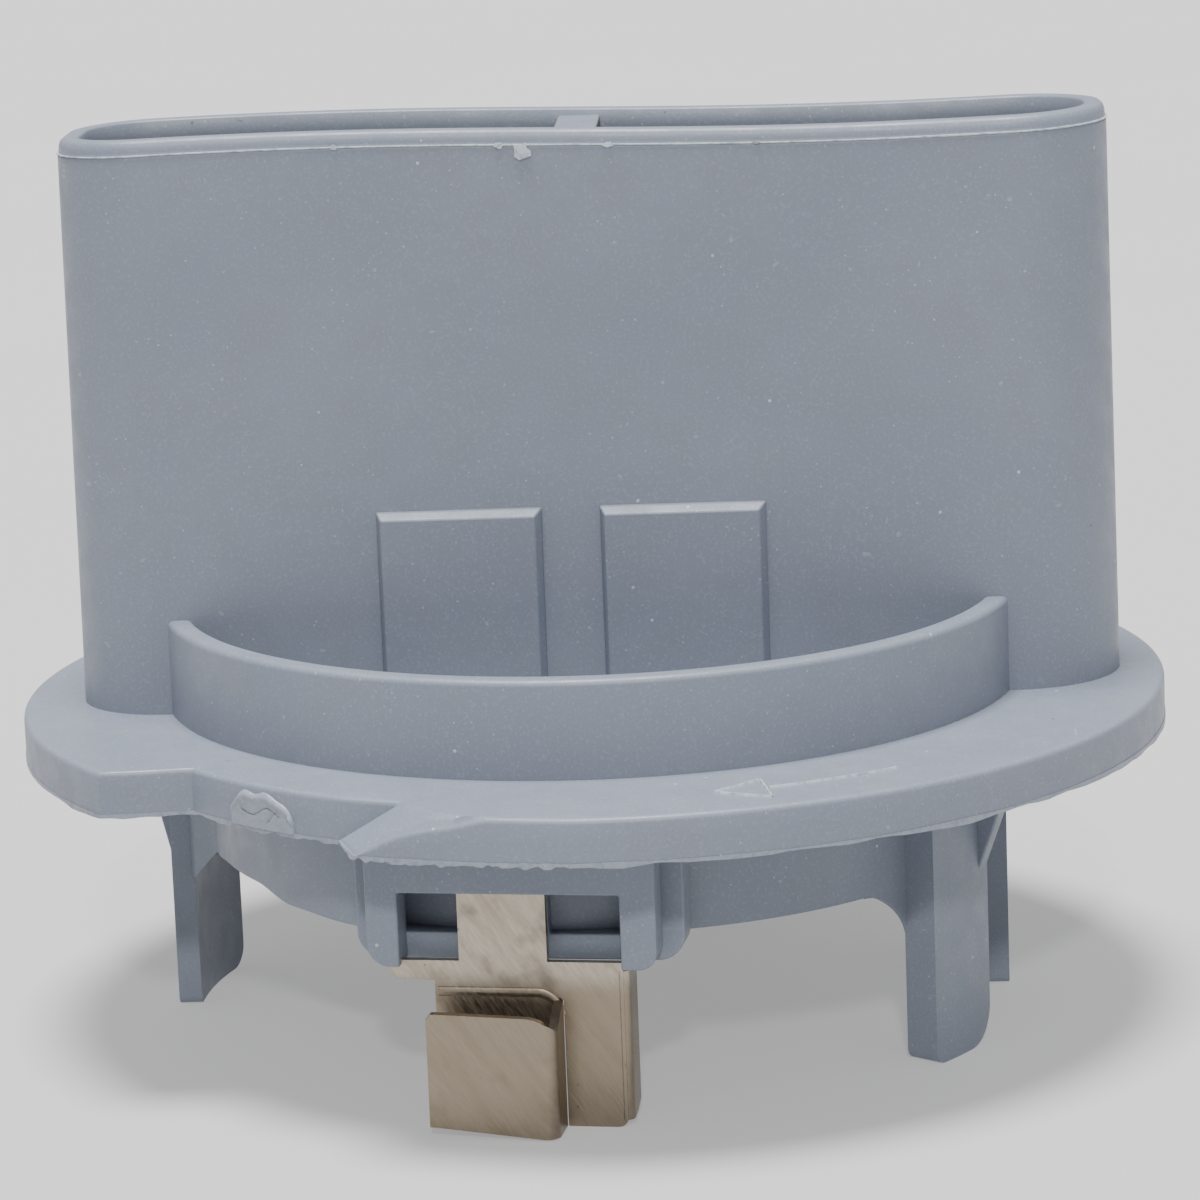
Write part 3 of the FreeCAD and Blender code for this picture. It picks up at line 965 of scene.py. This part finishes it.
def folded(path, z_span):
    rings = []
    for k, (x, depth) in enumerate(path):
        ahead = Vector(path[min(k + 1, len(path) - 1)]) - Vector(path[max(k - 1, 0)])
        side = Vector((-ahead.y, ahead.x)).normalized() * sheet / 2
        z_low, z_high = z_span(k / (len(path) - 1), x, depth)
        outer = (x + side.x, -(depth + side.y))
        inner = (x - side.x, -(depth - side.y))
        rings.append([(*outer, z_high), (*inner, z_high), (*inner, z_low), (*outer, z_low)])
    return skin(rings)


# %% Contact strip
neck_left, neck_right, neck_top = -2.9, 1.5, -1.4
shoulder = -6.85
plate_left = -4.15


def strip_shape():
    outline = [(neck_left, neck_top), (neck_right, neck_top), (neck_right, shoulder), (5.25, shoulder)]
    outline += [(5.25, -14.7)] + arc_points(4.75, -14.7, 0.5, 0, -90, 4)
    outline += [(2.26, -15.2), (2.25, -11.5), (2.25, -9.0)] + arc_points(2.07, -8.86, 0.19, 20, 160, 5)
    outline += [(1.86, -9.0), (1.7, -9.6), (1.7, -15.05), (plate_left, -15.05), (plate_left, -7.85)]
    outline += [(-6.0, -7.8), (-6.4, -7.5), (-6.4, shoulder), (neck_left, shoulder)]
    return extruded(outline, strip_face, strip_face - sheet)


def column_fold_shape():
    middle = strip_face - sheet / 2
    path = [(5.0, middle), (5.1, middle)] + arc_points(5.05, middle - 0.25, 0.25, 90, 0, 7)
    path += [(5.3, middle - 1.0), (5.3, middle - 1.9)]

    def span(share, x, depth):
        back = (middle - depth) / 1.9
        return -14.85 + 0.5 * back ** 2, -7.28
    return folded(path, span)


# %% Jaw
jaw_gap = 2.05


def jaw_shape():
    root = strip_face - sheet / 2
    leaf = strip_face + jaw_gap + sheet / 2
    side_x = 2.02
    r = 0.42
    path = [(1.62, root), (1.66, root)] + arc_points(side_x - r, root + r, r, -78, 0, 7)
    path += [(side_x, root + 0.8), (side_x, leaf - 0.8)]
    path += arc_points(side_x - r, leaf - r, r, 0, 90, 8)
    path += [(x, leaf) for x in steps(1.5, -3.6, 24)] + [(-3.9, leaf + 0.02), (plate_left, leaf + 0.06)]

    def span(share, x, depth):
        across = max((1.6 - x) / 5.75, 0.0)
        on_leaf = smooth(depth, leaf - 0.5, leaf - 0.02)
        low = -15.12 + 0.55 * across * on_leaf
        if depth < leaf - r:
            back = (depth - root) / (leaf - r - root)
            return low, -8.75 - 1.15 * max(back, 0.0) ** 2
        past = min(max((x - 0.75) / (side_x - 0.75), 0.0), 1.0)
        top = -9.05 + 0.2 * across - 0.85 * (1 - math.sqrt(1 - past ** 2))
        return low, top - rise(max(x - plate_left, 0.0), 0.3)
    return folded(path, span)


# %% Bead and link
link_end = 6.6


def bead_shape():
    # the sheet bulges along the fold line above the jaw and round its corner
    route = [(x, -8.42) for x in steps(-4.0, 0.9, 14)] + arc_points(0.9, -9.62, 1.2, 84, 4, 10)
    rings = []
    for k, here in enumerate(route):
        ahead = Vector(route[min(k + 1, len(route) - 1)]) - Vector(route[max(k - 1, 0)])
        side = Vector((-ahead.y, ahead.x)).normalized()
        ring = []
        for turn in steps(0, 180, 8):
            a = math.radians(turn)
            across = 0.26 * math.cos(a)
            y = -strip_face + 0.03 - 0.12 * math.sin(a)
            ring.append((here[0] + side.x * across, y, here[1] + side.y * across))
        rings.append(ring)
    return skin(rings)


def link_shape():
    low = neck_top - sheet
    outline = [(neck_left, low), (neck_right, low), (neck_right, neck_top), (neck_left, neck_top)]
    return extruded(outline, strip_face - sheet, link_end)


# %% Make both contacts
def applied(made):
    graph = bpy.context.evaluated_depsgraph_get()
    made.data = bpy.data.meshes.new_from_object(made.evaluated_get(graph))
    made.modifiers.clear()


hinge_x = 1.6
for end, facing in contact_ends:
    strip = joined(strip_shape(), column_fold_shape(), bead_shape())
    piece(end + "_contact_plate", strip, nickel, (end + "_contact_strip",), bevel=0.05, facing=facing)
    piece(end + "_contact_bar", link_shape(), nickel, (end + "_contact_link",), bevel=0.08, facing=facing)
    jaw = piece(end + "_spring_jaw", jaw_shape(), nickel, bevel=0.08, facing=facing, body=None)
    applied(jaw)
    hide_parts(end + "_jaw_bend", end + "_jaw_leaf")
    blend_y = -strip_face - 2.2
    root, tip = turned([(hinge_x + 0.25, blend_y, 0), (hinge_x - 0.55, blend_y, 0)], facing)
    root[0] * MM
    root[1] * MM
    tip[0] * MM
    tip[1] * MM
    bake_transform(jaw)

# %% [markdown]
# ## Inside the skirt
# A block under the flange has two pockets. In each sits a plated channel that holds one leg of the lamp,
# pressed home by a leaning spring. The block is a grid of cells, and only faces between solid and air
# are kept, which makes one clean shell.

# %% Terminal block
def cells(xs, ys, zs, solid):
    points = []
    index = {}
    faces = []

    def corner(i, j, k):
        key = (i, j, k)
        if key not in index:
            index[key] = len(points)
            points.append((xs[i], ys[j], zs[k]))
        return index[key]

    def full(i, j, k):
        inside = 0 <= i < len(xs) - 1 and 0 <= j < len(ys) - 1 and 0 <= k < len(zs) - 1
        if not inside:
            return False
        return solid((xs[i] + xs[i + 1]) / 2, (ys[j] + ys[j + 1]) / 2, (zs[k] + zs[k + 1]) / 2)

    for i in range(len(xs) - 1):
        for j in range(len(ys) - 1):
            for k in range(len(zs) - 1):
                if not full(i, j, k):
                    continue
                for d, (a, b) in ((0, (1, 2)), (1, (2, 0)), (2, (0, 1))):
                    for way in (0, 1):
                        step = [0, 0, 0]
                        step[d] = 1 if way else -1
                        if full(i + step[0], j + step[1], k + step[2]):
                            continue
                        quad = []
                        for u, v in ((0, 0), (1, 0), (1, 1), (0, 1)):
                            at = [i, j, k]
                            at[d] += way
                            at[a] += u
                            at[b] += v
                            quad.append(corner(*at))
                        faces.append(tuple(quad if way else reversed(quad)))
    return points, faces


block_x, block_y, block_drop = 7.0, 8.6, 5.9
pocket_x, pocket_near, pocket_far, roof = 4.6, 2.2, 6.6, 1.3


def block_solid(x, y, z):
    return not (abs(x) < pocket_x and pocket_near < abs(y) < pocket_far and z < -roof)


block_shape = cells(
    [-block_x, -pocket_x, pocket_x, block_x],
    [-block_y, -pocket_far, -pocket_near, pocket_near, pocket_far, block_y],
    [-block_drop, -roof, seat], block_solid,
)
piece("lamp_block", block_shape, plastic, ("terminal_block",), bevel=0.18, facing=front_facing)


def channel_shape():
    half = pocket_x - 0.3 - sheet / 2
    outer = pocket_far - 0.05 - sheet / 2
    inner = pocket_near + 0.05 + sheet / 2
    r = 0.35
    path = [(-2.6, inner), (-half + r, inner)] + arc_points(-half + r, inner + r, r, 260, 190, 5)
    path += arc_points(-half + r, outer - r, r, 170, 100, 5) + arc_points(half - r, outer - r, r, 80, 10, 5)
    path += arc_points(half - r, inner + r, r, -10, -80, 5) + [(half - r, inner), (2.6, inner)]
    return folded(path, lambda share, x, depth: (-5.7, -1.42))


def spring_shape():
    rings = []
    begin = pocket_far - 0.05 - sheet - 0.12
    for share in steps(0, 1, 14):
        z = -1.6 - 3.4 * share
        depth = begin - sheet / 2 - 2.1 * share
        bow = -0.10 * math.sin(math.pi * share)
        half = 2.5 - 0.25 * smooth(share, 0.75, 1.0)
        near, far = -(depth + bow) - sheet / 2, -(depth + bow) + sheet / 2
        rings.append([(-half, near, z), (half, near, z), (half, far, z), (-half, far, z)])
    return skin(rings)


for end, facing in contact_ends:
    piece(
        end + "_lamp_channel", channel_shape(), nickel, (end + "_lamp_terminal",), bevel=0.07,
        facing=facing,
    )
    piece(
        end + "_lamp_leaf", spring_shape(), nickel, (end + "_lamp_spring",), bevel=0.07, facing=facing,
        body=end + "_lamp_spring",
    )

# %% [markdown]
# ## Floor, light and camera
# The cap stands on a plain pale floor that gives off a little light, as a light table does, so that the
# underside isn't black. A low, fairly small key light in front models the form. A wide one almost straight
# above brightens every top and lets the flange shade the skirt, and an even sky fills the shadows. The
# camera looks slightly down.

# %% Floor
def flat_material(name, colour):
    material, seed, place = start(name)
    shade = noise(place, 60.0).fade(0.3, 0.7).mix(colour, tuple(0.985 * c for c in colour[:3]) + (1,))
    return close(material, seed.node(
        "ShaderNodeBsdfPrincipled", Base_Color=shade, Roughness=0.8,
        Emission_Color=(1.0, 1.0, 1.0, 1), Emission_Strength=0.34,
    ))


floor_half = 3.0
floor_mesh = bpy.data.meshes.new("floor")
floor_corners = [(floor_half * x, floor_half * y, 0) for x, y in ((-1, -1), (1, -1), (1, 1), (-1, 1))]
floor_mesh.from_pydata(floor_corners, [], [(0, 1, 2, 3)])
floor_mesh.materials.append(flat_material("pale_floor", (0.34, 0.34, 0.34, 1)))
floor = bpy.data.objects.new("floor", floor_mesh)
bpy.context.scene.collection.objects.link(floor)

# %% Lights
def toward(azimuth, elevation):
    a, e = math.radians(azimuth), math.radians(elevation)
    return Vector((math.sin(a) * math.cos(e), -math.cos(a) * math.cos(e), math.sin(e)))


def sun(name, azimuth, elevation, strength, spread):
    data = bpy.data.lights.new(name, "SUN")
    data.energy = strength
    data.angle = math.radians(spread)
    lamp = bpy.data.objects.new(name, data)
    lamp.rotation_mode = "QUATERNION"
    lamp.rotation_quaternion = toward(azimuth, elevation).to_track_quat("Z", "Y")
    bpy.context.scene.collection.objects.link(lamp)
    print("light", name, "at", azimuth, elevation, "degrees")


sun("key", 2, 33, 1.55, 4)
sun("top", -40, 86, 7.4, 20)
world = bpy.data.worlds.new("studio")
world.use_nodes = True
world.node_tree.nodes["Background"].inputs["Color"].default_value = (1.0, 1.0, 1.0, 1)
world.node_tree.nodes["Background"].inputs["Strength"].default_value = 0.5
bpy.context.scene.world = world

# %% Camera
view_azimuth, view_elevation, view_roll = 2.385, 11.778, 2.197
view_distance, view_lens, view_aim = 250.0, 142.376, (0.4917, 0.0, 21.5758)
back = toward(view_azimuth, view_elevation)
right = Vector((math.cos(math.radians(view_azimuth)), math.sin(math.radians(view_azimuth)), 0))
up = back.cross(right)
roll = math.radians(view_roll)
camera_right = math.cos(roll) * right - math.sin(roll) * up
camera_up = math.sin(roll) * right + math.cos(roll) * up
camera_data = bpy.data.cameras.new("view")
camera_data.lens = view_lens
camera_data.sensor_width = 36
camera_data.clip_start = 0.01
camera = bpy.data.objects.new("view", camera_data)
spot = (Vector(view_aim) + view_distance * back) * MM
turn = Matrix((camera_right, camera_up, back)).transposed()
camera.matrix_world = Matrix.Translation(spot) @ turn.to_4x4()
bpy.context.scene.collection.objects.link(camera)
bpy.context.scene.camera = camera
print("camera", view_distance, "mm away, lens", view_lens)

# %% Count the pieces
print(len(pieces), "pieces")
